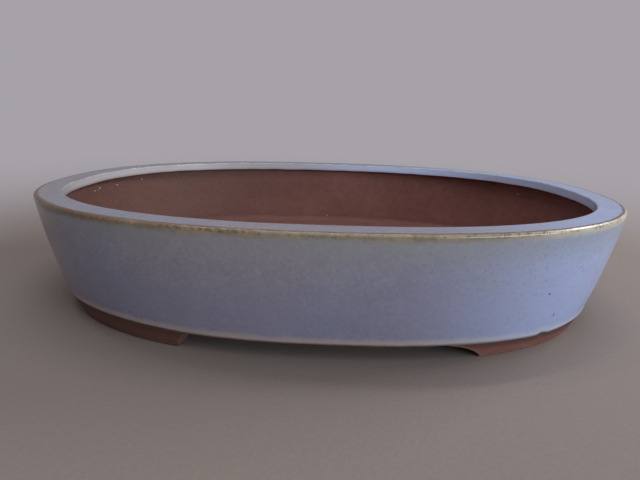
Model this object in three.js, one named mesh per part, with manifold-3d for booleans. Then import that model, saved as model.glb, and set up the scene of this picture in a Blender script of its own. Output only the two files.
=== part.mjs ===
// A low oval bonsai pot, built as a potter builds it: a base slab, a wall standing on it, a flat rim
// band turned inward over the wall, a coil pressed into the inside corner, and four feet.
// Millimetres, +Z up, origin on the ground under the middle of the pot. X is the long axis.
import * as THREE from "three";
import { mergeVertices } from "three/addons/utils/BufferGeometryUtils.js";
import Module from "manifold-3d";

// Overall sizes
const RIM_LENGTH = 400;
const RIM_WIDTH = 307;
const HEIGHT = 75.5;
const OVAL_POWER = 2.3; // 2 is an ellipse, and a larger power gives fuller corners

// Rim band
const RIM_LEDGE = 16.8; // width of the flat top, from the outer edge to the mouth
const LIP_HEIGHT = 7;
const RIM_ROUND = 2; // radius of the outer top edge
const LIP_ROUND = 1; // radius of the mouth's two edges

// Wall: its outside runs in from the rim's outline on the way down
const WALL_LEAN = 9.3; // straight part of that run over the wall's whole height
const WALL_CURVE = 5.7; // further run, growing with the square of the depth
const WALL_THICKNESS = 8;
const WALL_LEVELS = 5;

// Base slab and its holes
const FLOOR_THICKNESS = 7;
const BASE_ROUND = 1.6; // radius of the slab's lower edge
const DRAIN_DIAMETER = 26;
const DRAIN_SPACING = 160; // between the two drainage holes
const TIE_HOLE_DIAMETER = 6;
const TIE_HOLE_SPACING = 124; // across the pot, on the lines of the drainage holes

// Coil in the corner between wall and floor
const COIL_LEG = 7;
const COIL_GAP = 0.3; // clearance to the sloping wall

// Feet
const FOOT_HEIGHT = 10;
const FOOT_THICKNESS = 15;
const FOOT_TAPER = 2.6; // how far the outer face runs in on the way down
const FOOT_EDGE = 0.8; // bevel round the sole
const FRONT_GAP = 140; // between the feet of one long side, at the top
const END_GAP = 160; // between the feet of one end, at the top
const FOOT_SWEEP = 14; // how far each end of a foot runs back from its top to the ground
const NOSE_RADIUS = 2.6; // rounding at the tip of a foot

const OVAL_STEPS = 72;
const ARC_STEPS = 3;
const CURVE_STEPS = 5;
const HOLE_STEPS = 24;

const wasm = await Module();
wasm.setup();

const wallTop = HEIGHT - LIP_HEIGHT;
const floorTop = FOOT_HEIGHT + FLOOR_THICKNESS;
const widest = HEIGHT - RIM_ROUND; // level of the rim's outline

// How far the wall's outer face lies inside the rim's outline at a level.
function wallInset(z) {
  const depth = (widest - z) / (widest - FOOT_HEIGHT);
  return WALL_LEAN * depth + WALL_CURVE * depth * depth;
}

// The rim's outline at an angle: the point and its outward direction, for an oval between an
// ellipse and a rectangle.
function rimOutline(angle) {
  const halfLength = RIM_LENGTH / 2;
  const halfWidth = RIM_WIDTH / 2;
  const signed = (value, power) => Math.sign(value) * Math.abs(value) ** power;
  const x = halfLength * signed(Math.cos(angle), 2 / OVAL_POWER);
  const y = halfWidth * signed(Math.sin(angle), 2 / OVAL_POWER);
  const nx = signed(x / halfLength, OVAL_POWER - 1) / halfLength;
  const ny = signed(y / halfWidth, OVAL_POWER - 1) / halfWidth;
  const length = Math.hypot(nx, ny);
  return { x, y, nx: nx / length, ny: ny / length };
}

// A point that lies a given distance inside the rim's outline. An infinite inset is the middle.
function ovalPoint(angle, inset) {
  if (!Number.isFinite(inset)) return [0, 0];
  const { x, y, nx, ny } = rimOutline(angle);
  return [x - inset * nx, y - inset * ny];
}

// The angle in the first quarter where the line at an inset has a given x or y.
function angleWhere(axis, value, inset) {
  let low = 0;
  let high = Math.PI / 2;
  for (let i = 0; i < 40; i++) {
    const middle = (low + high) / 2;
    const beyond = ovalPoint(middle, inset)[axis === "x" ? 0 : 1] > value;
    if (beyond === (axis === "x")) low = middle;
    else high = middle;
  }
  return low;
}

// A lathe turned about +Z and then stretched to the oval. The profile lists [inset, level] and runs
// up the outside, in over the top, and down the inside. It closes on itself, or starts and ends at
// the middle.
function ovalLathe(profile) {
  const nominal = 1000;
  const radius = (inset) => (Number.isFinite(inset) ? nominal - inset : 0);
  const turned = profile.map(([inset, z]) => new THREE.Vector2(radius(inset), z));
  const geometry = new THREE.LatheGeometry(turned, OVAL_STEPS);
  const position = geometry.attributes.position;
  for (let i = 0; i < position.count; i++) {
    const [inset, z] = profile[i % profile.length];
    const step = Math.floor(i / profile.length) % OVAL_STEPS;
    const [x, y] = ovalPoint((2 * Math.PI * step) / OVAL_STEPS, inset);
    position.setXYZ(i, x, y, z);
  }
  return geometry;
}

// Points on a quarter or other arc about a centre, from one angle to another in degrees.
function arc(centreX, centreZ, radius, from, to, steps = ARC_STEPS) {
  return Array.from({ length: steps + 1 }, (_, i) => {
    const angle = THREE.MathUtils.degToRad(from + ((to - from) * i) / steps);
    return [centreX + radius * Math.cos(angle), centreZ + radius * Math.sin(angle)];
  });
}

// The wall's outer line between two levels, going up.
function wallLine(fromZ, toZ, levels) {
  return Array.from({ length: levels + 1 }, (_, i) => {
    const z = THREE.MathUtils.lerp(fromZ, toZ, i / levels);
    return [wallInset(z), z];
  });
}

function closed(profile) {
  return [...profile, profile[0]];
}

function solidOf(geometry) {
  const bare = geometry.clone();
  bare.deleteAttribute("normal");
  bare.deleteAttribute("uv");
  const merged = mergeVertices(bare, 1e-4);
  const index = merged.index.array;
  const triVerts = [];
  for (let i = 0; i < index.length; i += 3) {
    const [a, b, c] = index.slice(i, i + 3);
    if (a !== b && b !== c && c !== a) triVerts.push(a, b, c);
  }
  const mesh = new wasm.Mesh({
    numProp: 3,
    vertProperties: merged.attributes.position.array,
    triVerts: new Uint32Array(triVerts),
  });
  return new wasm.Manifold(mesh);
}

function geometryOf(solid) {
  const mesh = solid.getMesh();
  const geometry = new THREE.BufferGeometry();
  geometry.setAttribute("position", new THREE.BufferAttribute(mesh.vertProperties, mesh.numProp));
  geometry.setIndex(new THREE.BufferAttribute(mesh.triVerts, 1));
  geometry.computeVertexNormals();
  return geometry;
}

function piece(name, solid, material) {
  const mesh = new THREE.Mesh(geometryOf(solid), material);
  mesh.name = name;
  return mesh;
}

function glaze() {
  return new THREE.MeshStandardMaterial({ color: 0x8d91a6, roughness: 0.35, metalness: 0 });
}

function bareClay() {
  return new THREE.MeshStandardMaterial({ color: 0x6b4a40, roughness: 0.9, metalness: 0 });
}

// The flat band on top of the wall. Its outside carries on the wall's slope.
function rimBand() {
  const outside = [[wallInset(wallTop), wallTop], ...arc(RIM_ROUND, widest, RIM_ROUND, 180, 90)];
  const mouthTop = arc(RIM_LEDGE - LIP_ROUND, HEIGHT - LIP_ROUND, LIP_ROUND, 90, 0);
  const mouthBottom = arc(RIM_LEDGE - LIP_ROUND, wallTop + LIP_ROUND, LIP_ROUND, 0, -90);
  return solidOf(ovalLathe(closed([...outside, ...mouthTop, ...mouthBottom])));
}

function wallRing() {
  const outside = wallLine(floorTop, wallTop, WALL_LEVELS);
  const inside = outside.map(([inset, z]) => [inset + WALL_THICKNESS, z]).reverse();
  return solidOf(ovalLathe(closed([...outside, ...inside])));
}

function hole(diameter, x, y) {
  const cutter = new THREE.CylinderGeometry(diameter / 2, diameter / 2, 3 * FLOOR_THICKNESS, HOLE_STEPS);
  cutter.rotateX(Math.PI / 2);
  cutter.translate(x, y, FOOT_HEIGHT + FLOOR_THICKNESS / 2);
  return solidOf(cutter);
}

function baseSlab() {
  const corner = wallInset(FOOT_HEIGHT + BASE_ROUND);
  const lowerEdge = arc(corner + BASE_ROUND, FOOT_HEIGHT + BASE_ROUND, BASE_ROUND, 270, 180);
  const underside = [[Infinity, FOOT_HEIGHT], ...lowerEdge];
  const upperSide = [[wallInset(floorTop), floorTop], [Infinity, floorTop]];
  const holes = [-1, 1].flatMap((side) => {
    const x = (side * DRAIN_SPACING) / 2;
    const y = TIE_HOLE_SPACING / 2;
    return [hole(DRAIN_DIAMETER, x, 0), hole(TIE_HOLE_DIAMETER, x, -y), hole(TIE_HOLE_DIAMETER, x, y)];
  });
  const slab = solidOf(ovalLathe([...underside, ...upperSide]));
  return holes.reduce((left, cutter) => left.subtract(cutter), slab);
}

// A fillet with a hollow face, standing on the floor against the wall.
function seamCoil() {
  const against = (z) => wallInset(z) + WALL_THICKNESS + COIL_GAP;
  const top = floorTop + COIL_LEG;
  const back = [[against(floorTop), floorTop], [against(top), top]];
  const inner = against(floorTop) + COIL_LEG;
  const hollow = arc(inner, top, COIL_LEG - 1, 180, 270, CURVE_STEPS);
  return solidOf(ovalLathe(closed([...back, ...hollow, [inner, floorTop]])));
}

// The ring that the feet are cut from.
function footRing() {
  const outer = wallInset(FOOT_HEIGHT + BASE_ROUND) + BASE_ROUND;
  const inner = outer + FOOT_THICKNESS;
  const outerSole = outer + FOOT_TAPER;
  const innerSole = inner - FOOT_TAPER;
  const outside = [[outerSole + FOOT_EDGE, 0], [outerSole, FOOT_EDGE], [outer, FOOT_HEIGHT]];
  const inside = [[inner, FOOT_HEIGHT], [innerSole, FOOT_EDGE], [innerSole - FOOT_EDGE, 0]];
  return solidOf(ovalLathe(closed([...outside, ...inside])));
}

// Everything on the foot's side of its end. The end is a hollow sweep down from the underside of
// the slab to a rounded nose on the ground, cut square to the oval at the given angle. The foot
// lies towards larger angles when side is 1, and towards smaller ones when it is -1.
function footEnd(angle, side) {
  const inset = wallInset(FOOT_HEIGHT);
  const reach = RIM_LENGTH;
  const back = FOOT_SWEEP - NOSE_RADIUS;
  const sweep = new THREE.QuadraticBezierCurve(
    new THREE.Vector2(0, FOOT_HEIGHT),
    new THREE.Vector2(back, FOOT_HEIGHT * 0.7),
    new THREE.Vector2(back, NOSE_RADIUS),
  );
  const nose = arc(FOOT_SWEEP, NOSE_RADIUS, NOSE_RADIUS, 180, 270).slice(1);
  const line = [...sweep.getPoints(CURVE_STEPS), ...nose.map(([x, z]) => new THREE.Vector2(x, z))];
  line.push(new THREE.Vector2(reach, 0), new THREE.Vector2(reach, FOOT_HEIGHT));
  const block = new THREE.ExtrudeGeometry(new THREE.Shape(line), { depth: 2 * reach, bevelEnabled: false });
  block.translate(0, 0, -reach);
  block.rotateX(Math.PI / 2);
  const { nx, ny } = rimOutline(angle);
  block.rotateZ(Math.atan2(side * nx, -side * ny));
  const [x, y] = ovalPoint(angle, inset);
  block.translate(x, y, 0);
  return solidOf(block);
}

function foot() {
  const inset = wallInset(FOOT_HEIGHT);
  const atEnd = footEnd(angleWhere("y", END_GAP / 2, inset), 1);
  const atFront = footEnd(angleWhere("x", FRONT_GAP / 2, inset), -1);
  return footRing().intersect(atEnd).intersect(atFront);
}

const group = new THREE.Group();
group.add(piece("rim_band", rimBand(), glaze()));
group.add(piece("wall_ring", wallRing(), glaze()));
group.add(piece("base_slab", baseSlab(), bareClay()));
group.add(piece("seam_coil", seamCoil(), bareClay()));
for (const [end, sideX] of [["left", -1], ["right", 1]]) {
  for (const [face, sideY] of [["front", -1], ["back", 1]]) {
    const corner = piece(`foot_${face}_${end}`, foot(), bareClay());
    corner.scale.set(sideX, sideY, 1);
    group.add(corner);
  }
}

export default group;
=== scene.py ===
import math

import bpy
import numpy as np
from mathutils import Matrix, Vector, geometry, noise


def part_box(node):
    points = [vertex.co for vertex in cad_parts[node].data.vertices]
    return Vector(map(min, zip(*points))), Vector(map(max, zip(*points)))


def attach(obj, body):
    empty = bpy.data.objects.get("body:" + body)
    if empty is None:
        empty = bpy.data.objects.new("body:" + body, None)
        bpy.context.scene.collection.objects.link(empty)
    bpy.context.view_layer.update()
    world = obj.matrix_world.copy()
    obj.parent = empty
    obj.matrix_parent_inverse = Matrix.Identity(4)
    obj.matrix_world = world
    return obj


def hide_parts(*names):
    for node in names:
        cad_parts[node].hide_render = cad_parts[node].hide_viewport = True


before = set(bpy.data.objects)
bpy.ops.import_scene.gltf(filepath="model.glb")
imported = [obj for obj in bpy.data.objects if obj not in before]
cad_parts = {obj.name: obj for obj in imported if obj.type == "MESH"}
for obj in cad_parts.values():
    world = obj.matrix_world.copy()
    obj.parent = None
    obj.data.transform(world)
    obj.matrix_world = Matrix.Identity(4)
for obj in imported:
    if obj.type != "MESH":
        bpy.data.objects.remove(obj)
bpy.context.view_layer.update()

# Everything below is worked out in millimetres and scaled to metres when a mesh is made.
MM = 0.001


def box_mm(node):
    low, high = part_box(node)
    return np.array(low) / MM, np.array(high) / MM


# ---------------------------------------------------------------- sizes
RIM_LOW, RIM_HIGH = box_mm("rim_band")
BASE_LOW, BASE_HIGH = box_mm("base_slab")
HALF_LENGTH = RIM_HIGH[0]
HALF_WIDTH = RIM_HIGH[1]
TOP = RIM_HIGH[2]
LIP_LEVEL = RIM_LOW[2]
FLOOR_LEVEL = BASE_HIGH[2]
UNDERSIDE = BASE_LOW[2]

OVAL_POWER = 2.3
RIM_LEDGE = 16.8
RIM_ROUND = 2.0
LIP_ROUND = 1.0
WALL_LEAN = 9.3
WALL_CURVE = 5.7
WALL_THICKNESS = 8.0
BASE_ROUND = 1.6
COIL_LEG = 7.0
DRAIN_RADIUS = 13.0
DRAIN_X = 80.0
TIE_RADIUS = 3.0
TIE_Y = 62.0
FOOT_THICKNESS = 15.0
FOOT_TAPER = 2.6

WIDEST = TOP - RIM_ROUND
STEPS = 720  # vertices round the oval
GLAZE_LINE = UNDERSIDE + 0.9  # level at which the glaze stops, before it wavers
GLAZE_THICKNESS = 0.35
ROLL_HEIGHT = 0.35  # how far the thick roll of glaze stands out above its edge
LEFT_RISE = 1.5  # how much higher the glaze stops above the left front foot
RIGHT_RUN = 1.4  # how much lower it runs above the right front foot
NOTCH_HEIGHT = 1.3  # height of the notch in its edge there
LIP_GLAZE_END = 6.1  # distance down past the mouth's edge at which the inner glaze stops


# ---------------------------------------------------------------- the oval
def signed_power(value, power):
    return np.sign(value) * np.abs(value) ** power


def rim_outline(angle):
    """Points of the rim's outline and its outward directions."""
    x = HALF_LENGTH * signed_power(np.cos(angle), 2 / OVAL_POWER)
    y = HALF_WIDTH * signed_power(np.sin(angle), 2 / OVAL_POWER)
    nx = signed_power(x / HALF_LENGTH, OVAL_POWER - 1) / HALF_LENGTH
    ny = signed_power(y / HALF_WIDTH, OVAL_POWER - 1) / HALF_WIDTH
    length = np.hypot(nx, ny)
    return x, y, nx / length, ny / length


def even_angles(steps):
    """Angles whose points lie evenly along the outline, starting at the +X end."""
    fine = np.linspace(0, 2 * math.pi, 20001)
    x, y, _, _ = rim_outline(fine)
    walked = np.concatenate([[0], np.cumsum(np.hypot(np.diff(x), np.diff(y)))])
    return np.interp(np.arange(steps) / steps * walked[-1], walked, fine)


def wall_inset(z):
    depth = (WIDEST - z) / (WIDEST - UNDERSIDE)
    return WALL_LEAN * depth + WALL_CURVE * depth * depth


ANGLES = even_angles(STEPS)
OUTLINE = rim_outline(ANGLES)


# ---------------------------------------------------------------- small hand-made unevenness
def noise_at(points, size, seed=0.0, stretch=(1, 1, 1)):
    """Smooth noise, about -1 to 1, at an array of points in mm."""
    scale = 1 / (size * np.array(stretch))
    places = points.reshape(-1, 3) * scale + seed * np.array([1, -1, 0.7])
    values = [noise.noise(Vector(place)) for place in places]
    return np.array(values).reshape(points.shape[:-1])


def bump(value, centre, width):
    return np.exp(-(((value - centre) / width) ** 2))


def glaze_line(x, y):
    """Level at which the outer glaze stops, by place round the pot."""
    points = np.stack([x, y, np.zeros_like(x)], axis=-1)
    wander = 0.35 * noise_at(points, 38, 4.1) + 0.16 * noise_at(points, 9, 8.7)
    over_left_foot = LEFT_RISE * bump(x, -125, 48)
    over_right_foot = -RIGHT_RUN * bump(x, 132, 42)
    notch = NOTCH_HEIGHT * smooth_step(x, 123, 125.5) * (1 - smooth_step(x, 126, 133))
    in_front = y < 0
    return GLAZE_LINE + wander + (over_left_foot + over_right_foot + notch) * in_front


def smooth_step(value, low, high):
    t = np.clip((value - low) / (high - low), 0, 1)
    return t * t * (3 - 2 * t)


# ---------------------------------------------------------------- profile of the skin
def arc_rows(centre_inset, centre_z, radius, start, end, count):
    """Rows on an arc. Angles are in degrees: 180 faces outward, 90 up and 0 inward."""
    rows = []
    for i in range(count + 1):
        a = math.radians(start + (end - start) * i / count)
        rows.append((centre_inset + radius * math.cos(a), centre_z + radius * math.sin(a)))
    return rows


def line_rows(start, end, count):
    return [tuple(np.array(start) + (np.array(end) - start) * i / count) for i in range(count + 1)]


def join(*runs):
    rows = list(runs[0])
    for run in runs[1:]:
        rows += run[1:] if math.dist(rows[-1], run[0]) < 1e-6 else run
    return rows


def wall_rows(z_from, z_to, count, thickness=0.0):
    levels = np.linspace(z_from, z_to, count + 1)
    return [(wall_inset(z) + thickness, z) for z in levels]


def outer_base_rows():
    corner = wall_inset(UNDERSIDE + BASE_ROUND)
    lower = arc_rows(corner + BASE_ROUND, UNDERSIDE + BASE_ROUND, BASE_ROUND, 270, 180, 13)
    return join(lower, wall_rows(UNDERSIDE + BASE_ROUND, FLOOR_LEVEL, 15))


def rim_rows():
    outside = wall_rows(LIP_LEVEL, WIDEST, 7)
    edge = arc_rows(RIM_ROUND, WIDEST, RIM_ROUND, 180, 90, 12)
    flat = line_rows((RIM_ROUND, TOP), (RIM_LEDGE - LIP_ROUND, TOP), 18)
    mouth = arc_rows(RIM_LEDGE - LIP_ROUND, TOP - LIP_ROUND, LIP_ROUND, 90, 0, 6)
    lip = line_rows((RIM_LEDGE, TOP - LIP_ROUND), (RIM_LEDGE, LIP_LEVEL + LIP_ROUND), 8)
    lower = arc_rows(RIM_LEDGE - LIP_ROUND, LIP_LEVEL + LIP_ROUND, LIP_ROUND, 0, -90, 6)
    wall_inside = wall_inset(LIP_LEVEL) + WALL_THICKNESS
    under = line_rows((RIM_LEDGE - LIP_ROUND, LIP_LEVEL), (wall_inside, LIP_LEVEL), 5)
    return join(outside, edge, flat, mouth, lip, lower, under)


def coil_rows():
    """The fillet's hollow face, from the wall down to the floor."""
    against = wall_inset(FLOOR_LEVEL + COIL_LEG) + WALL_THICKNESS
    foot = wall_inset(FLOOR_LEVEL) + WALL_THICKNESS + COIL_LEG
    rows = []
    for i in range(11):
        a = i / 10 * math.pi / 2
        inset = foot - (foot - against) * math.cos(a)
        rows.append((inset, FLOOR_LEVEL + COIL_LEG * (1 - math.sin(a))))
    return rows


# ---------------------------------------------------------------- turning rows into points
def surface(rows):
    """Points and outward normals, as arrays of row by step by xyz."""
    rows = np.array(rows)
    x, y, nx, ny = OUTLINE
    shape = (len(rows), STEPS)
    inset = rows[:, :1]
    points = np.stack([x - inset * nx, y - inset * ny, np.broadcast_to(rows[:, 1:], shape)], -1)
    run = np.gradient(rows, axis=0)
    run /= np.linalg.norm(run, axis=1)[:, None]
    up, out = run[:, :1], run[:, 1:]  # the row's direction turned a quarter, to face outward
    normals = np.stack([nx * out, ny * out, np.broadcast_to(up, shape)], -1)
    return points, normals


def walked_along(rows, origin_index):
    rows = np.array(rows)
    steps = np.linalg.norm(np.diff(rows, axis=0), axis=1)
    walked = np.concatenate([[0], np.cumsum(steps)])
    return walked - walked[origin_index]


def nearest_row(rows, inset, z):
    return int(np.argmin([math.hypot(r[0] - inset, r[1] - z) for r in rows]))


# ---------------------------------------------------------------- meshes
def add_piece(name, points, faces, attributes, materials, sharp=()):
    mesh = bpy.data.meshes.new(name)
    mesh.from_pydata([tuple(p) for p in np.asarray(points) * MM], [], faces)
    mesh.validate()
    for key, values in attributes.items():
        layer = mesh.attributes.new(key, "FLOAT", "POINT")
        layer.data.foreach_set("value", np.asarray(values, dtype=np.float32).ravel())
    mesh.polygons.foreach_set("use_smooth", [True] * len(mesh.polygons))
    if len(sharp):
        marks = {tuple(sorted(e)) for e in sharp}
        flags = [tuple(sorted(e.vertices)) in marks for e in mesh.edges]
        layer = mesh.attributes.new("sharp_edge", "BOOLEAN", "EDGE")
        layer.data.foreach_set("value", flags)
    for material in materials:
        mesh.materials.append(material)
    piece = bpy.data.objects.new(name, mesh)
    bpy.context.scene.collection.objects.link(piece)
    mesh.update()
    return piece


def ring_faces(row_count, closed):
    """Quads between rows of a ring, and between the last row and the first if it closes."""
    faces = []
    pairs = [(r, r + 1) for r in range(row_count - 1)]
    if closed:
        pairs.append((row_count - 1, 0))
    for low, high in pairs:
        for i in range(STEPS):
            j = (i + 1) % STEPS
            faces.append((low * STEPS + i, low * STEPS + j, high * STEPS + j, high * STEPS + i))
    return faces


def row_edges(row):
    return [(row * STEPS + i, row * STEPS + (i + 1) % STEPS) for i in range(STEPS)]


FAR = 99.0  # attribute value for a place far from a glaze edge


def skin_attributes(points, edge=None, lip=None, cover=None):
    """Distances in mm that the glaze shader reads."""
    given = {"edge": (edge, FAR), "lip": (lip, -FAR), "cover": (cover, -FAR)}
    return {
        key: np.broadcast_to(np.asarray(default if value is None else value, float), points.shape[:-1])
        for key, (value, default) in given.items()
    }

def settle(points, normals, glaze_edge):
    """Hand-made waver, always inward, and the glaze's thickness with its roll at the lower edge."""
    waver = -0.16 * (1 + noise_at(points, 75, 1.3)) - 0.05 * (1 + noise_at(points, 14, 5.9))
    coat = GLAZE_THICKNESS * (smooth_step(glaze_edge, -0.25, 0.5) - 1)
    roll = ROLL_HEIGHT * smooth_step(glaze_edge, -0.1, 0.9) * np.exp(-np.maximum(glaze_edge - 0.9, 0) / 2.6)
    return points + normals * (waver + coat + roll)[..., None]


def outer_skin(rows):
    points, normals = surface(rows)
    level = points[..., 2] - glaze_line(points[..., 0], points[..., 1])
    return settle(points, normals, level), level


def rim_piece(materials):
    rows = rim_rows()
    points, normals = surface(rows)
    outer_edge = walked_along(rows, nearest_row(rows, RIM_ROUND, TOP))
    mouth_edge = walked_along(rows, nearest_row(rows, RIM_LEDGE - 0.3 * LIP_ROUND, TOP - 0.3 * LIP_ROUND))
    edge = np.broadcast_to(-outer_edge[:, None], points.shape[:-1])
    lip = np.broadcast_to(mouth_edge[:, None], points.shape[:-1])
    stop = LIP_GLAZE_END + 0.5 * noise_at(points, 16, 2.2)
    near_lip = lip > -5
    cover = np.where(near_lip, stop - lip, FAR)
    points = settle(points, normals, np.where(near_lip, np.minimum(cover + 3, FAR), FAR))
    sharp = row_edges(0) + row_edges(len(rows) - 1)
    faces = ring_faces(len(rows), True)
    attributes = skin_attributes(points, edge, lip, cover)
    piece = add_piece("rim", points.reshape(-1, 3), faces, attributes, materials, sharp)
    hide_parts("rim_band")
    return piece


def wall_piece(materials):
    outside = wall_rows(FLOOR_LEVEL, LIP_LEVEL, 40)
    inside = wall_rows(LIP_LEVEL, FLOOR_LEVEL, 28, WALL_THICKNESS)
    outer, level = outer_skin(outside)
    inner, normals = surface(inside)
    tooling = 0.22 * noise_at(inner, 24, 6.6, (3, 3, 0.5)) + 0.1 * noise_at(inner, 6, 3.3)
    inner = inner + normals * (tooling - 0.25)[..., None]
    points = np.concatenate([outer, inner])
    rim_edge = np.array([WIDEST + RIM_ROUND * math.pi / 2 - z for _, z in outside])
    edge = np.concatenate([
        np.broadcast_to(rim_edge[:, None], outer.shape[:-1]),
        np.full(inner.shape[:-1], FAR),
    ])
    cover = np.concatenate([level, np.full(inner.shape[:-1], -FAR)])
    attributes = skin_attributes(points, edge, None, cover)
    turn, last = len(outside), len(points) - 1
    sharp = row_edges(0) + row_edges(turn - 1) + row_edges(turn) + row_edges(last)
    faces = ring_faces(len(points), True)
    piece = add_piece("wall", points.reshape(-1, 3), faces, attributes, materials, sharp)
    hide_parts("wall_ring")
    return piece


def coil_piece(materials):
    face = coil_rows()
    points, normals = surface(face)
    points = points + normals * (0.35 * noise_at(points, 13, 9.2, (2, 2, 1)) - 0.1)[..., None]
    (top_inset, top_level), (foot_inset, _) = face[0], face[-1]
    sunk = FLOOR_LEVEL - 0.4
    hidden = [
        (foot_inset + 0.3, sunk),
        (foot_inset - COIL_LEG - 0.6, sunk),
        (top_inset - 1.2, top_level - 0.2),
    ]
    back, _ = surface(hidden)
    points = np.concatenate([points, back])
    sharp = [edge for row in (0, *range(len(face) - 1, len(points))) for edge in row_edges(row)]
    faces = ring_faces(len(points), True)
    attributes = skin_attributes(points)
    piece = add_piece("corner_coil", points.reshape(-1, 3), faces, attributes, materials, sharp)
    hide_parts("seam_coil")
    return piece


def circle(x, y, radius, count):
    a = np.arange(count) / count * 2 * math.pi
    return np.stack([x + radius * np.cos(a), y + radius * np.sin(a)], -1)


def base_piece(materials):
    """The slab: its outer edge as a ring of rows, two flat faces, and holes with rounded edges."""
    side, level = outer_skin(outer_base_rows())
    rows = len(side)
    points = [side.reshape(-1, 3)]
    cover = [level.ravel()]
    faces = ring_faces(rows, False)
    count = rows * STEPS
    # each hole: its centre, radius, the rounding of its edges and the steps round it
    holes = [(sx * DRAIN_X, 0.0, DRAIN_RADIUS, 1.6, 96) for sx in (-1, 1)]
    holes += [(sx * DRAIN_X, sy * TIE_Y, TIE_RADIUS, 0.8, 40) for sx in (-1, 1) for sy in (-1, 1)]
    loops = {"low": [list(range(STEPS))], "high": [list(range((rows - 1) * STEPS, rows * STEPS))]}
    for x, y, radius, rounding, around in holes:
        bend = [(1 - math.sin(a), 1 - math.cos(a)) for a in np.linspace(0, math.pi / 2, 6)]
        shape = [(radius + rounding * out, FLOOR_LEVEL - rounding * down) for out, down in bend]
        shape += [(radius + rounding * out, UNDERSIDE + rounding * up) for out, up in bend[::-1]]
        for r, z in shape:
            points.append(np.column_stack([circle(x, y, r, around), np.full(around, z)]))
        cover.append(np.full(around * len(shape), -FAR))
        for k in range(len(shape) - 1):
            for i in range(around):
                j = (i + 1) % around
                a, b = count + k * around, count + (k + 1) * around
                faces.append((a + i, b + i, b + j, a + j))
        loops["high"].append([count + i for i in range(around)])
        loops["low"].append([count + (len(shape) - 1) * around + i for i in range(around)])
        count += around * len(shape)
    everything = np.concatenate(points)
    for side_name, rings in loops.items():
        faces += filled(everything, rings, holes, upward=side_name == "high")
    attributes = skin_attributes(everything, None, None, np.concatenate(cover))
    sharp = row_edges(rows - 1)
    piece = add_piece("base", everything, faces, attributes, materials, sharp)
    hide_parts("base_slab")
    return piece


def filled(points, rings, holes, upward):
    """Triangles of a flat face between an outer ring and the rings of its holes."""
    ids = [i for ring in rings for i in ring]
    place = {v: k for k, v in enumerate(ids)}
    flat = [Vector(points[i][:2]) for i in ids]
    edges = [(place[ring[k]], place[ring[(k + 1) % len(ring)]]) for ring in rings for k in range(len(ring))]
    verts, _, faces, origins, _, _ = geometry.delaunay_2d_cdt(flat, edges, [], 1, 1e-5)
    out = []
    for face in faces:
        a, b, c = (Vector(verts[i]) for i in face)
        middle = (a + b + c) / 3
        if any(math.hypot(middle[0] - h[0], middle[1] - h[1]) < h[2] for h in holes):
            continue
        up = (b - a).cross(c - a) > 0
        tri = tuple(ids[origins[i][0]] for i in face)
        out.append(tri if up == upward else tri[::-1])
    return out


# ---------------------------------------------------------------- feet
def outline_walk():
    fine = np.linspace(0, math.pi / 2, 4001)
    x, y, nx, ny = rim_outline(fine)
    inset = wall_inset(UNDERSIDE)
    x, y = x - inset * nx, y - inset * ny
    walked = np.concatenate([[0], np.cumsum(np.hypot(np.diff(x), np.diff(y)))])
    return fine, x, y, walked


def end_height(u, sweep, top, nose):
    """Lower edge of a foot at a distance u from its end: a hollow sweep and a rounded nose."""
    back = sweep - nose
    t = np.clip(u / back, 0, 1)
    hollow = top - (top - nose) * (0.38 * t + 0.62 * t ** 2.6)
    v = np.clip((u - back) / nose, 0, 1)
    rounded = nose - nose * np.sqrt(np.maximum(0, 1 - (1 - v) ** 2))
    return np.where(u < back, hollow, rounded)


FOOT_EDGE = 1.3  # rounding along the sole
OUTER_ROWS = 14  # rows down a foot's outer face

def foot_section(low):
    """Insets and levels across a foot: down its outer face, over the sole and up its inner face."""
    top = UNDERSIDE + BASE_ROUND
    outer_top = wall_inset(top) + 0.2
    sole_out = outer_top + BASE_ROUND + FOOT_TAPER
    inner_low = wall_inset(top) + BASE_ROUND + FOOT_THICKNESS - FOOT_TAPER
    inner_top = UNDERSIDE + 0.6
    quarter = np.linspace(0, math.pi / 2, 6)
    section = []
    for f in np.linspace(0, 1, OUTER_ROWS):
        z = top + (low + FOOT_EDGE - top) * f
        reach = (top - z) / (top - FOOT_EDGE)
        section.append((outer_top + (sole_out - outer_top) * (0.75 * reach + 0.25 * reach ** 2), z))
    start = section[-1][0] + FOOT_EDGE
    stop = inner_low - FOOT_EDGE
    for a in quarter[1:]:
        section.append((start - FOOT_EDGE * math.cos(a), low + FOOT_EDGE * (1 - math.sin(a))))
    for f in np.linspace(0, 1, 9)[1:-1]:
        section.append((start + (stop - start) * f, low))
    for a in quarter:
        section.append((stop + FOOT_EDGE * math.sin(a), low + FOOT_EDGE * (1 - math.cos(a))))
    for f in np.linspace(0, 1, 10)[1:]:
        z = low + FOOT_EDGE + (inner_top - low - FOOT_EDGE) * f
        section.append((inner_low + FOOT_TAPER * f ** 2, z))
    return section

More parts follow.
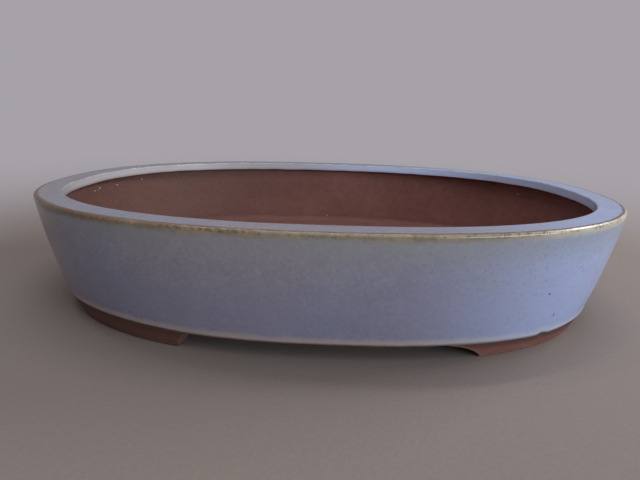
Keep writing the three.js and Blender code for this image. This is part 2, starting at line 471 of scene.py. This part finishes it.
def foot_piece(name, node, side_x, side_y, front_x, end_y, front_sweep, end_sweep, nose, materials):
    angle, x, y, walked = outline_walk()
    s_end = np.interp(end_y, y, walked)
    s_front = np.interp(-front_x, -x, walked)
    length = s_front - s_end
    stations = 150
    t = (1 - np.cos(np.linspace(0, math.pi, stations))) / 2
    t = 0.45 * t + 0.55 * np.linspace(0, 1, stations)
    s = s_end + t * length
    around = np.interp(s, walked, angle)
    ox, oy, nx, ny = rim_outline(around)
    end_low = end_height(s - s_end, end_sweep, UNDERSIDE, nose)
    front_low = end_height(s_front - s, front_sweep, UNDERSIDE, nose)
    low = np.maximum(end_low, front_low)
    low = np.minimum(low, UNDERSIDE - 0.05)
    section = foot_section(low)
    rows = []
    for inset, z in section:
        inset = np.broadcast_to(inset, s.shape)
        z = np.broadcast_to(z, s.shape)
        rows.append(np.stack([ox - inset * nx, oy - inset * ny, z], -1))
    points = np.array(rows) * np.array([side_x, side_y, 1.0])
    centre = points.mean(axis=0, keepdims=True)
    outward = points - centre
    outward /= np.maximum(np.linalg.norm(outward, axis=-1, keepdims=True), 1e-6)
    dents = -0.22 * (1 + noise_at(points, 12, 7.7)) / 2 - 0.1 * (1 + noise_at(points, 3.5, 2.9)) / 2
    outward[..., 2] *= points[..., 2] > 0.5
    points = points + outward * dents[..., None]
    rings, across = points.shape[0], points.shape[1]
    faces = []
    for r in range(rings):
        q = (r + 1) % rings
        for i in range(across - 1):
            face = (r * across + i, q * across + i, q * across + i + 1, r * across + i + 1)
            faces.append(face)
    faces.append(tuple(r * across for r in range(rings))[::-1])
    faces.append(tuple(r * across + across - 1 for r in range(rings)))
    if side_x * side_y < 0:
        faces = [f[::-1] for f in faces]
    cover = points[..., 2] - glaze_line(points[..., 0], points[..., 1])
    cover[OUTER_ROWS:] = -FAR
    attributes = skin_attributes(points, None, None, cover)
    piece = add_piece(name, points.reshape(-1, 3), faces, attributes, materials)
    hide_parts(node)
    return piece


# ---------------------------------------------------------------- materials
def rgb(red, green, blue):
    """A colour given as 0 to 255 on screen, as the linear value that nodes use."""
    def linear(c):
        c /= 255
        return c / 12.92 if c <= 0.04045 else ((c + 0.055) / 1.055) ** 2.4
    return (linear(red), linear(green), linear(blue), 1.0)


# places in mm and radii in mm of the few marks that can be seen one by one
PINHOLES = (
    ((122.7, -121.5, 38.0), 0.9),
    ((130.9, -111.8, 22.2), 0.9),
    ((49.9, -148.5, 60.0), 0.5),
    ((88.0, 137.0, 41.0), 0.6),
    ((-131.0, 117.0, 30.0), 0.6),
)
FLECKS = (
    ((-189.2, 18.4, 61.0), 0.7),
    ((-188.7, 23.3, 61.0), 0.5),
    ((-188.6, 26.0, 62.2), 0.8),
    ((-183.5, 47.8, 61.8), 0.8),
    ((-171.8, 73.8, 63.5), 0.7),
    ((-2.4, 134.4, 22.8), 0.7),
    ((170.0, 75.5, 60.5), 0.7),
)
CLAY_ROUGHNESS = 0.72
BACKDROP = rgb(166, 162, 168)
FLOOR_FADE = (0.3, 1.2)  # metres from the pot over which the floor turns into the background


class Nodes:
    """A short way to write a material's node tree."""

    def __init__(self, name):
        self.material = bpy.data.materials.new(name)
        self.material.use_nodes = True
        self.tree = self.material.node_tree
        self.shader = self.tree.nodes["Principled BSDF"]
        self.place = self.tree.nodes.new("ShaderNodeTexCoord").outputs["Object"]

    def link(self, value, socket):
        if isinstance(value, bpy.types.NodeSocket):
            self.tree.links.new(value, socket)
        else:
            socket.default_value = value

    def along(self):
        """The position along the pot's length, in metres."""
        axes = self.tree.nodes.new("ShaderNodeSeparateXYZ")
        self.link(self.place, axes.inputs[0])
        return axes.outputs[0]

    def spot(self, place_mm, radius_mm):
        """1 within a small round spot, 0 beyond it."""
        gap = self.tree.nodes.new("ShaderNodeVectorMath")
        gap.operation = "DISTANCE"
        self.link(self.place, gap.inputs[0])
        gap.inputs[1].default_value = Vector(place_mm) * MM
        return self.ramp(gap.outputs["Value"], 0.6 * radius_mm * MM, radius_mm * MM, 1.0, 0.0)

    def attribute(self, name):
        node = self.tree.nodes.new("ShaderNodeAttribute")
        node.attribute_name = name
        return node.outputs["Fac"]

    def math(self, operation, a, b=0.0):
        node = self.tree.nodes.new("ShaderNodeMath")
        node.operation = operation
        for value, socket in zip((a, b), node.inputs):
            self.link(value, socket)
        return node.outputs[0]

    def noise(self, size_mm, detail=3.0, rough=0.5, distortion=0.0):
        node = self.tree.nodes.new("ShaderNodeTexNoise")
        node.inputs["Scale"].default_value = 1 / (size_mm * MM)
        node.inputs["Detail"].default_value = detail
        node.inputs["Roughness"].default_value = rough
        node.inputs["Distortion"].default_value = distortion
        self.link(self.place, node.inputs["Vector"])
        return node.outputs["Fac"]

    def cells(self, size_mm):
        """Distance from the middle of the nearest of many scattered cells."""
        node = self.tree.nodes.new("ShaderNodeTexVoronoi")
        node.inputs["Scale"].default_value = 1 / (size_mm * MM)
        self.link(self.place, node.inputs["Vector"])
        return node.outputs["Distance"]

    def ramp(self, value, low, high, to_low=0.0, to_high=1.0):
        """A smooth change from one output to another as the value goes from low to high."""
        node = self.tree.nodes.new("ShaderNodeMapRange")
        node.interpolation_type = "SMOOTHSTEP"
        settings = {"Value": value, "From Min": low, "From Max": high, "To Min": to_low, "To Max": to_high}
        for key, setting in settings.items():
            self.link(setting, node.inputs[key])
        return node.outputs[0]

    def mix(self, factor, a, b):
        node = self.tree.nodes.new("ShaderNodeMix")
        node.data_type = "RGBA"
        self.link(factor, node.inputs["Factor"])
        self.link(a, node.inputs["A"])
        self.link(b, node.inputs["B"])
        return node.outputs["Result"]

    def bump(self, height, distance_mm, normal=None):
        node = self.tree.nodes.new("ShaderNodeBump")
        node.inputs["Distance"].default_value = distance_mm * MM
        node.inputs["Strength"].default_value = 1.0
        self.link(height, node.inputs["Height"])
        if normal:
            self.link(normal, node.inputs["Normal"])
        return node.outputs[0]

    def band(self, value, start, rise, fall, end):
        """1 between rise and fall, falling to 0 at start and end."""
        return self.math("MULTIPLY", self.ramp(value, start, rise), self.ramp(value, fall, end, 1.0, 0.0))


def scattered(n, spacing_mm, full, gone, where):
    """Small dots, one to a cell, that show only in some places."""
    return n.math("MULTIPLY", n.ramp(n.cells(spacing_mm), full, gone, 1.0, 0.0), where)

def clay_colour(n):
    """Bare fired clay: reddish brown, blotched, with dark iron specks and pale grog, and painted shade
    darkening it towards the left end.
    """
    base = n.mix(n.ramp(n.noise(34, 3, 0.55), 0.36, 0.66), rgb(122, 75, 68), rgb(132, 83, 78))
    base = n.mix(n.ramp(n.noise(7, 4, 0.6), 0.42, 0.72, 0.0, 0.4), base, rgb(98, 59, 51))
    # painted shade: the clay darker towards the left end, which the light reaches less
    base = n.mix(n.ramp(n.along(), -0.17, 0.05, 0.8, 0.0), base, rgb(78, 46, 38))
    grain = n.noise(0.9, 2, 0.6)
    base = n.mix(n.ramp(grain, 0.35, 0.7, 0.0, 0.35), base, rgb(134, 98, 88))
    dark = scattered(n, 2.6, 0.06, 0.16, n.ramp(n.noise(9, 2), 0.5, 0.62))
    base = n.mix(n.math("MULTIPLY", dark, 0.6), base, rgb(44, 30, 26))
    pale = scattered(n, 3.7, 0.05, 0.12, n.ramp(n.noise(6, 2), 0.54, 0.66))
    return n.mix(n.math("MULTIPLY", pale, 0.5), base, rgb(158, 126, 110)), grain


def glaze_body(n):
    """The glaze away from its edges: lilac grey drifting to blue, with fine mottling, painted bluish light
    towards the right end and painted warmer light at the left end.
    """
    drift = n.ramp(n.noise(80, 3, 0.55, 0.4), 0.34, 0.68, 0.0, 0.6)
    body = n.mix(drift, rgb(142, 134, 146), rgb(130, 136, 162))
    # painted light: bluish light from the right painted in towards the right end, and warm light painted in at
    # the left end
    body = n.mix(n.ramp(n.along(), 0.035, 0.155), body, rgb(168, 181, 222))
    body = n.mix(n.ramp(n.along(), -0.19, -0.1, 0.5, 0.0), body, rgb(140, 130, 140))
    cloud = n.ramp(n.noise(16, 5, 0.62, 0.5), 0.34, 0.72)
    body = n.mix(n.math("MULTIPLY", cloud, 0.3), body, rgb(158, 156, 168))
    mottle = n.noise(2.2, 4, 0.65)
    body = n.mix(n.ramp(mottle, 0.5, 0.78, 0.0, 0.5), body, rgb(116, 112, 128))
    return n.mix(n.ramp(mottle, 0.5, 0.24, 0.0, 0.4), body, rgb(170, 168, 180)), mottle


def thick_glaze(n, colour, edge, lip, cover, waver):
    """The glaze low on the wall, on the lip and pooled above its lower edge, where it is thick."""
    # bluer towards the lower edge of the wall, and bluer again towards the right end as painted bluish light
    lower_tone = n.mix(n.ramp(n.along(), 0.02, 0.14), rgb(128, 128, 158), rgb(162, 172, 216))
    colour = n.mix(n.ramp(edge, 15, 45, 0.0, 0.45), colour, lower_tone)

    # thick glaze on the lip's upright face: its own blue, with painted bright bluish light and reflection that
    # make it paler and bluer towards the right
    lip_blue_and_painted_light = n.mix(n.ramp(n.along(), -0.08, 0.08), rgb(184, 180, 184), rgb(204, 218, 255))
    on_lip = n.band(n.math("ADD", lip, n.math("MULTIPLY", waver, 1.5)), -0.6, 0.8, 20, 21)
    colour = n.mix(n.math("MULTIPLY", on_lip, 0.85), colour, lip_blue_and_painted_light)

    # pale pooled band above the lower edge, bluer towards the right end as painted bluish light
    height = n.math("ADD", cover, n.math("MULTIPLY", waver, 4.5))
    pooled = n.band(height, 0.2, 1.2, 2.8, 6.2)
    pool_tone = n.mix(n.ramp(n.along(), 0.02, 0.15), rgb(172, 156, 154), rgb(186, 190, 210))
    outside = n.ramp(lip, -12, -10, 1.0, 0.0)
    pooled = n.math("MULTIPLY", pooled, outside)
    colour = n.mix(n.math("MULTIPLY", pooled, 0.75), colour, pool_tone)
    return colour


def thin_glaze(n, colour, edge, lip, waver, fine):
    """The glaze at the outer edge and at the mouth's edge, where it is thin and brown, with a painted
    highlight on the outer edge towards the right end.
    """
    # the outer edge, where the glaze runs thin and breaks to brown
    past = n.math("ADD", edge, n.math("ADD", n.math("MULTIPLY", waver, 1.6), n.math("MULTIPLY", fine, 0.8)))
    fade = n.band(past, 0.5, 2.5, 5.0, 24.0)
    colour = n.mix(n.math("MULTIPLY", fade, 0.5), colour, rgb(146, 146, 146))
    drip = n.math("MULTIPLY", n.math("SUBTRACT", n.noise(6, 4, 0.65), 0.5), 5.0)
    tan = n.band(n.math("ADD", past, n.math("MULTIPLY", drip, n.ramp(past, 2.0, 5.0))), -0.6, 0.3, 3.2, 7.0)
    tone = n.mix(n.ramp(n.noise(5, 3), 0.4, 0.65), rgb(156, 138, 112), rgb(134, 124, 106))
    brown = n.ramp(n.noise(26, 3, 0.6), 0.5, 0.7, 0.0, 0.5)
    brown = n.math("MAXIMUM", brown, n.ramp(n.along(), -0.14, -0.075, 0.9, 0.0))
    tone = n.mix(brown, tone, rgb(108, 84, 64))
    # painted highlight: the break band lightened to cream towards the right end
    tone = n.mix(n.ramp(n.along(), 0.07, 0.14, 0.0, 0.75), tone, rgb(218, 208, 188))
    colour = n.mix(n.math("MULTIPLY", tan, 0.9), colour, tone)
    rust = n.math("MULTIPLY", n.band(past, -1.5, -0.6, 0.3, 1.3), n.ramp(n.noise(14, 2), 0.3, 0.55, 0.55, 1.0))
    colour = n.mix(n.math("MULTIPLY", rust, 0.85), colour, rgb(110, 78, 58))
    scorch = n.math("MULTIPLY", n.band(past, 0.4, 1.3, 2.8, 4.0), n.ramp(n.noise(31, 2), 0.46, 0.58))
    scorch = n.math("MULTIPLY", scorch, n.ramp(n.noise(2.4, 4, 0.7), 0.42, 0.58, 0.1, 0.75))
    colour = n.mix(scorch, colour, rgb(112, 78, 56))
    near = n.band(past, -1.4, -0.2, 2.8, 4.2)
    speck = n.math("MULTIPLY", n.ramp(n.noise(1.1, 2, 0.7), 0.6, 0.68), near)
    colour = n.mix(n.math("MULTIPLY", speck, 0.75), colour, rgb(66, 46, 34))

    # a thin brown line on the mouth's edge
    into = n.math("ADD", lip, n.math("MULTIPLY", fine, 0.7))
    line = n.math("MULTIPLY", n.band(into, -0.7, -0.2, 0.2, 0.8), n.ramp(n.noise(11, 2), 0.42, 0.66, 0.0, 0.4))
    colour = n.mix(line, colour, rgb(112, 88, 74))
    return colour


def single_marks(n, colour, clay):
    """The few marks that can be seen one by one."""
    # a faint brown streak in the glaze of the front, on the left
    streak = n.math("MAXIMUM", n.spot((-68.5, -146.0, 61.5), 2.6), n.spot((-66.0, -145.0, 57.0), 2.0))
    streak = n.math("MULTIPLY", streak, n.ramp(n.noise(0.9, 3, 0.7), 0.45, 0.65, 0.0, 0.4))
    colour = n.mix(streak, colour, rgb(96, 76, 70))

    # pinholes in the glaze
    for place, radius in PINHOLES:
        colour = n.mix(n.math("MULTIPLY", n.spot(place, radius), 0.85), colour, rgb(58, 48, 50))

    # flecks of glaze that fell on the bare clay inside
    for place, radius in FLECKS:
        clay = n.mix(n.spot(place, radius), clay, rgb(196, 186, 176))
    return colour, clay


def pot_material():
    n = Nodes("glazed_stoneware")
    edge = n.attribute("edge")
    lip = n.attribute("lip")
    cover = n.attribute("cover")
    clay, grain = clay_colour(n)
    colour, mottle = glaze_body(n)
    waver = n.math("SUBTRACT", n.noise(9, 4, 0.6), 0.5)
    fine = n.math("SUBTRACT", n.noise(1.6, 3, 0.6), 0.5)

    colour = thick_glaze(n, colour, edge, lip, cover, waver)
    colour = thin_glaze(n, colour, edge, lip, waver, fine)
    colour, clay = single_marks(n, colour, clay)

    # painted shade: the clay darker just under the glaze's lower edge, where the roll of glaze shades it
    clay = n.mix(n.band(cover, -6.5, -1.0, -0.2, 0.2), clay, rgb(84, 52, 44))

    # where the glaze stops
    stop = n.math("ADD", cover, n.math("MULTIPLY", fine, 0.5))
    thin = n.math("MULTIPLY", n.band(stop, -0.45, 0.0, 0.8, 2.2), n.ramp(n.along(), 0.04, 0.12, 1.0, 0.45))
    thin = n.math("MULTIPLY", thin, n.ramp(lip, -12, -10, 1.0, 0.35))
    glazed = n.ramp(stop, -0.1, 0.12)
    colour = n.mix(n.math("MULTIPLY", thin, 0.92), colour, rgb(96, 70, 54))
    colour = n.mix(glazed, clay, colour)
    n.link(colour, n.shader.inputs["Base Color"])

    satin = n.ramp(n.noise(20, 3), 0.3, 0.7, 0.17, 0.26)
    smoother = n.math("MULTIPLY", glazed, n.math("SUBTRACT", satin, CLAY_ROUGHNESS))
    n.link(n.math("ADD", smoother, CLAY_ROUGHNESS), n.shader.inputs["Roughness"])
    n.shader.inputs["IOR"].default_value = 1.5
    peel = n.bump(n.noise(3.2, 2, 0.5), 0.10)
    pores = n.bump(mottle, 0.03, peel)
    rough = n.bump(grain, 0.12)
    choose = n.tree.nodes.new("ShaderNodeMix")
    choose.data_type = "VECTOR"
    n.link(glazed, choose.inputs[0])
    n.link(rough, choose.inputs[4])
    n.link(pores, choose.inputs[5])
    n.link(choose.outputs[1], n.shader.inputs["Normal"])
    return n.material



def backdrop_light(n):
    """The plain background as the camera and reflections see it."""
    glow = n.tree.nodes.new("ShaderNodeEmission")
    glow.inputs["Color"].default_value = BACKDROP
    return glow.outputs[0]


def floor_material():
    """A plain pale floor that runs into the background with no horizon line."""
    n = Nodes("studio_floor")
    weave = n.noise(2.4, 3, 0.6)
    colour = n.mix(n.ramp(weave, 0.3, 0.7, 0.0, 0.4), rgb(140, 129, 125), rgb(132, 122, 118))
    n.link(colour, n.shader.inputs["Base Color"])
    n.link(n.bump(weave, 0.15), n.shader.inputs["Normal"])
    n.shader.inputs["Roughness"].default_value = 0.85
    n.shader.inputs["Specular IOR Level"].default_value = 0.2
    axes = n.tree.nodes.new("ShaderNodeSeparateXYZ")
    n.link(n.place, axes.inputs[0])
    squares = [n.math("POWER", axis, 2) for axis in axes.outputs[:2]]
    far = n.math("SQRT", n.math("ADD", *squares))
    seen = n.tree.nodes.new("ShaderNodeLightPath")
    direct = n.math("MAXIMUM", seen.outputs["Is Camera Ray"], seen.outputs["Is Glossy Ray"])
    nearness = n.math("DIVIDE", 1.0, far)
    fade = n.ramp(nearness, 1 / FLOOR_FADE[1], 1 / FLOOR_FADE[0], 1.0, 0.0)
    share = n.math("MULTIPLY", fade, direct)
    blend = n.tree.nodes.new("ShaderNodeMixShader")
    n.link(share, blend.inputs[0])
    n.link(n.shader.outputs[0], blend.inputs[1])
    n.link(backdrop_light(n), blend.inputs[2])
    n.link(blend.outputs[0], n.tree.nodes["Material Output"].inputs["Surface"])
    return n.material


# ---------------------------------------------------------------- stage
CAMERA_PLACE = (7.8, -375.3, 130.7)  # mm
CAMERA_TURN = (-1.91, 14.84, 1.52)  # degrees to the right, down and of roll

def add_camera():
    yaw, pitch, roll = (math.radians(angle) for angle in CAMERA_TURN)
    forward = Vector((math.sin(yaw) * math.cos(pitch), math.cos(yaw) * math.cos(pitch), -math.sin(pitch)))
    level = Vector((math.cos(yaw), -math.sin(yaw), 0))
    upright = level.cross(forward)
    right = level * math.cos(roll) + upright * math.sin(roll)
    up = right.cross(forward)
    data = bpy.data.cameras.new("camera")
    data.sensor_width = 36
    data.lens = 28
    data.clip_start = 0.01
    camera = bpy.data.objects.new("camera", data)
    turn = Matrix((right, up, -forward)).transposed().to_4x4()
    camera.matrix_world = Matrix.Translation(Vector(CAMERA_PLACE) * MM) @ turn
    bpy.context.scene.collection.objects.link(camera)
    bpy.context.scene.camera = camera


def add_light(name, place, aim, size, power, colour):
    data = bpy.data.lights.new(name, "AREA")
    data.shape = "RECTANGLE"
    data.size, data.size_y = size
    data.energy = power
    data.color = colour
    lamp = bpy.data.objects.new(name, data)
    lamp.location = place
    lamp.visible_camera = False
    lamp.rotation_euler = (Vector(aim) - Vector(place)).to_track_quat("-Z", "Y").to_euler()
    bpy.context.scene.collection.objects.link(lamp)


def add_stage():
    radius, sides = 6.0, 96  # metres, and straight edges round it
    ring = [(x, y, 0) for x, y in circle(0, 0, radius, sides)]
    mesh = bpy.data.meshes.new("floor")
    mesh.from_pydata(ring, [], [tuple(range(sides))])
    mesh.materials.append(floor_material())
    floor = bpy.data.objects.new("floor", mesh)
    bpy.context.scene.collection.objects.link(floor)


def add_world():
    world = bpy.data.worlds.new("studio")
    bpy.context.scene.world = world
    world.use_nodes = True
    tree = world.node_tree
    ambient = tree.nodes["Background"]
    ambient.inputs["Color"].default_value = rgb(206, 208, 212)
    ambient.inputs["Strength"].default_value = 0.38
    backdrop = tree.nodes.new("ShaderNodeBackground")
    backdrop.inputs["Color"].default_value = BACKDROP
    seen = tree.nodes.new("ShaderNodeLightPath")
    blend = tree.nodes.new("ShaderNodeMixShader")
    tree.links.new(seen.outputs["Is Camera Ray"], blend.inputs[0])
    tree.links.new(ambient.outputs[0], blend.inputs[1])
    tree.links.new(backdrop.outputs[0], blend.inputs[2])
    tree.links.new(blend.outputs[0], tree.nodes["World Output"].inputs["Surface"])


def build_pot():
    pot = pot_material()
    pieces = [rim_piece([pot]), wall_piece([pot]), coil_piece([pot]), base_piece([pot])]
    # for each foot: its side of the x axis and of the y axis, then in mm where it stops in front and
    # at the pot's end, the length of its sweep at each of the two, and the radius of its nose
    feet = {
        "front_left": (-1, -1, 71, 84, 11, 15, 3.8),
        "front_right": (1, -1, 70, 77, 22, 14, 1.6),
        "back_left": (-1, 1, 70, 81, 14, 15, 2.6),
        "back_right": (1, 1, 71, 80, 15, 14, 2.2),
    }
    for name, sizes in feet.items():
        pieces.append(foot_piece("foot_" + name + "_clay", "foot_" + name, *sizes, [pot]))
    for piece in pieces:
        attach(piece, "root")


add_camera()
add_stage()
add_world()
# places, aims and sizes in metres, then watts and colour
add_light("window", (2.1, -1.6, 0.50), (0, 0, 0.04), (1.7, 0.75), 38, (0.84, 0.96, 1.0))
add_light("room", (0.6, -1.95, 2.3), (0, 0, 0.04), (2.2, 1.4), 16, (1.0, 0.96, 0.94))
add_light("overhead", (-0.2, 0.25, 2.7), (0, 0, 0.04), (1.7, 1.4), 8, (1.0, 0.97, 0.95))
add_light("edge_right", (1.03, 0.31, 0.70), (0.15, 0, 0.06), (0.6, 0.22), 6.0, (1.0, 0.98, 0.95))
add_light("edge_left", (-0.62, -0.06, 1.45), (0, 0, 0.06), (0.14, 0.14), 1.2, (1.0, 0.98, 0.95))
add_light("edge_back", (0.15, 0.055, 1.55), (0, 0, 0.06), (0.05, 1.0), 3.0, (1.0, 0.98, 0.96))
build_pot()
bpy.context.scene.view_settings.view_transform = "Standard"
